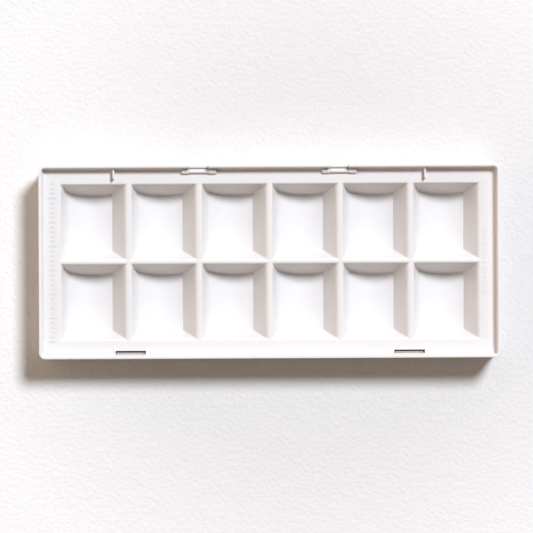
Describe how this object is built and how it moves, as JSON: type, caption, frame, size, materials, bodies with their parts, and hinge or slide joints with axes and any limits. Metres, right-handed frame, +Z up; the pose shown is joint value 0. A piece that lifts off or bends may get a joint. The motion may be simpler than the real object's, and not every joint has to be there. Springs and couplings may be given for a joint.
{
  "type": "wet palette",
  "caption": "Hinged wet palette: tray of rectangular paint wells over a shallow reservoir with sponge mat, hydration sheet, seal ring, pin hinges and snap latches.",
  "frame": {"origin": "under the middle of the object, on the plane the feet rest on", "axes": "+X along the long side to the right, +Y to the back where the hinges are, +Z up"},
  "size_m": [0.231, 0.097, 0.023],
  "materials": {
    "white_plastic": "glossy white injection moulding, faint moulding ripple",
    "sponge": "open-cell cellulose sponge sheet, matte and porous",
    "membrane": "hydration paper, matte and slightly fibrous",
    "silicone": "soft silicone, satin",
    "pin_steel": "drawn stainless wire",
    "foot_rubber": "matte non-slip rubber"
  },
  "bodies": {
    "reservoir": {"reservoir_tray": "white_plastic", "sponge_mat": "sponge", "membrane_sheet": "membrane", "seal_gasket": "silicone", "hinge_pin_left": "pin_steel", "hinge_pin_right": "pin_steel", "foot_front_left": "foot_rubber", "foot_front_right": "foot_rubber", "foot_back_left": "foot_rubber", "foot_back_right": "foot_rubber"},
    "tray": {"well_tray": "white_plastic"},
    "left_latch": {"latch_left": "white_plastic"},
    "right_latch": {"latch_right": "white_plastic"}
  },
  "joints": [
    {"name": "tray_hinge", "type": "hinge", "parent": "reservoir", "child": "tray", "pos_m": [0, 0.04515, 0.0187], "axis": [-1, 0, 0], "range_deg": [0, 105]},
    {"name": "latch_left_flex", "type": "hinge", "parent": "reservoir", "child": "left_latch", "pos_m": [-0.0698, -0.0456, 0.0013], "axis": [-1, 0, 0], "range_deg": [0, 2], "stiffness_Nm_per_rad": 0.35},
    {"name": "latch_right_flex", "type": "hinge", "parent": "reservoir", "child": "right_latch", "pos_m": [0.0698, -0.0456, 0.0013], "axis": [-1, 0, 0], "range_deg": [0, 2], "stiffness_Nm_per_rad": 0.35}
  ]
}
